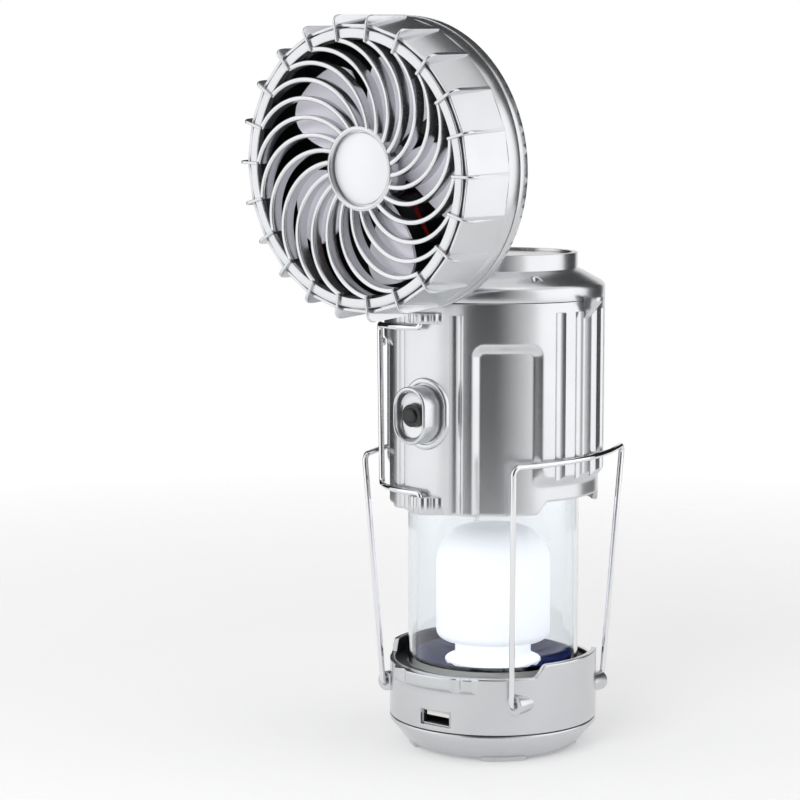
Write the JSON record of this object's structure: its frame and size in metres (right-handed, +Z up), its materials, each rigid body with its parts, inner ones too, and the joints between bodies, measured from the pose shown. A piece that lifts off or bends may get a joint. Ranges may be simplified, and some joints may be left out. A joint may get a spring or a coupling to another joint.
{
  "type": "flashlight fan",
  "caption": "Telescoping camping lantern with a tilting fan head on its lid, a torch in its foot, wire bails, a folding wire handle and a charging port.",
  "frame": {"origin": "middle of the plane that the four feet stand on, on the lantern's axis", "axes": "+Z up the lantern's axis from the torch foot to the lid, -Y to the front, where the switch, the port and the open fan face"},
  "size_m": [0.114, 0.1343, 0.2902],
  "materials": {
    "silver_paint": "satin silver paint on moulded plastic",
    "silver_trim": "bright silver paint on moulded plastic",
    "chrome_wire": "polished steel wire",
    "plated": "mirror plated plastic",
    "steel": "bright steel",
    "motor_can": "plain metal can",
    "clear_tube": "clear polished",
    "white_shade": "frosted white",
    "black_rubber": "matt black",
    "black_plastic": "matt black",
    "white_plastic": "matt white",
    "blade_plastic": "pale grey lavender",
    "circuit": "green solder mask",
    "cell_wrap": "blue wrap over a metal can",
    "solar_cell": "dark cell under clear cover",
    "lead": "insulated wire"
  },
  "bodies": {
    "base": {"torch_bezel": "silver_paint", "torch_lens": "clear_tube", "torch_reflector": "plated", "torch_board": "circuit", "seam_gasket": "black_rubber", "base_housing": "silver_paint", "base_board": "circuit", "port_shell": "steel", "port_tongue": "white_plastic", "battery_cells": "cell_wrap", "cell_cradle": "black_plastic", "cell_contacts": "steel", "lamp_deck": "white_plastic", "lamp_tube": "clear_tube", "tube_stop_ring": "silver_paint", "lamp_reflector": "plated", "lamp_shade": "white_shade", "lamp_board": "white_plastic"},
    "sleeve": {"body_sleeve": "silver_paint", "sleeve_guide_ring": "silver_paint", "switch_frame": "silver_trim", "switch_pod": "silver_trim", "switch_collar": "black_plastic", "switch_body": "black_plastic", "switch_board": "circuit", "bracket_lower": "silver_paint", "bracket_upper": "silver_paint", "handle_rest": "silver_trim", "bail_catches": "silver_paint", "lid": "silver_paint", "lid_screws": "steel", "solar_panel": "solar_cell", "control_board": "circuit", "control_board_screws": "steel", "hinge_bracket": "silver_paint", "hinge_screw": "steel", "hinge_nut": "steel"},
    "button": {"switch_button": "black_plastic"},
    "handle": {"side_handle": "chrome_wire"},
    "bail_r": {"bail_right": "chrome_wire"},
    "bail_l": {"bail_left": "chrome_wire"},
    "fan": {"fan_front_shell": "silver_paint", "fan_grille": "silver_trim", "hub_disc": "silver_trim", "fan_rear_shell": "silver_paint", "motor_cradle": "black_plastic", "fan_motor": "motor_can", "motor_leads": "lead"},
    "rotor": {"motor_shaft": "steel", "fan_rotor": "blade_plastic"}
  },
  "joints": [
    {"name": "sleeve_slide", "type": "slide", "parent": "base", "child": "sleeve", "axis": [0, 0, 1], "range_m": [-0.0641, 0]},
    {"name": "fan_tilt", "type": "hinge", "parent": "sleeve", "child": "fan", "pos_m": [0, -0.037, 0.19835], "axis": [1, 0, 0], "range_deg": [-92.9, 0]},
    {"name": "fan_spin", "type": "hinge", "parent": "fan", "child": "rotor", "pos_m": [0, -0.08636, 0.2329], "axis": [0, -0.9987, -0.0506], "continuous": true},
    {"name": "button_press", "type": "slide", "parent": "sleeve", "child": "button", "axis": [0, 1, 0], "range_m": [0, 0.0012], "stiffness_N_per_m": 400},
    {"name": "handle_swing", "type": "hinge", "parent": "sleeve", "child": "handle", "pos_m": [0, -0.0468, 0.14], "axis": [0, 0, 1], "range_deg": [0, 180]},
    {"name": "bail_right_swing", "type": "hinge", "parent": "base", "child": "bail_r", "pos_m": [0.0326, 0, 0.0248], "axis": [0, 1, 0], "range_deg": [0, 95]},
    {"name": "bail_left_swing", "type": "hinge", "parent": "base", "child": "bail_l", "pos_m": [-0.0326, 0, 0.0248], "axis": [0, -1, 0], "range_deg": [0, 95]}
  ]
}
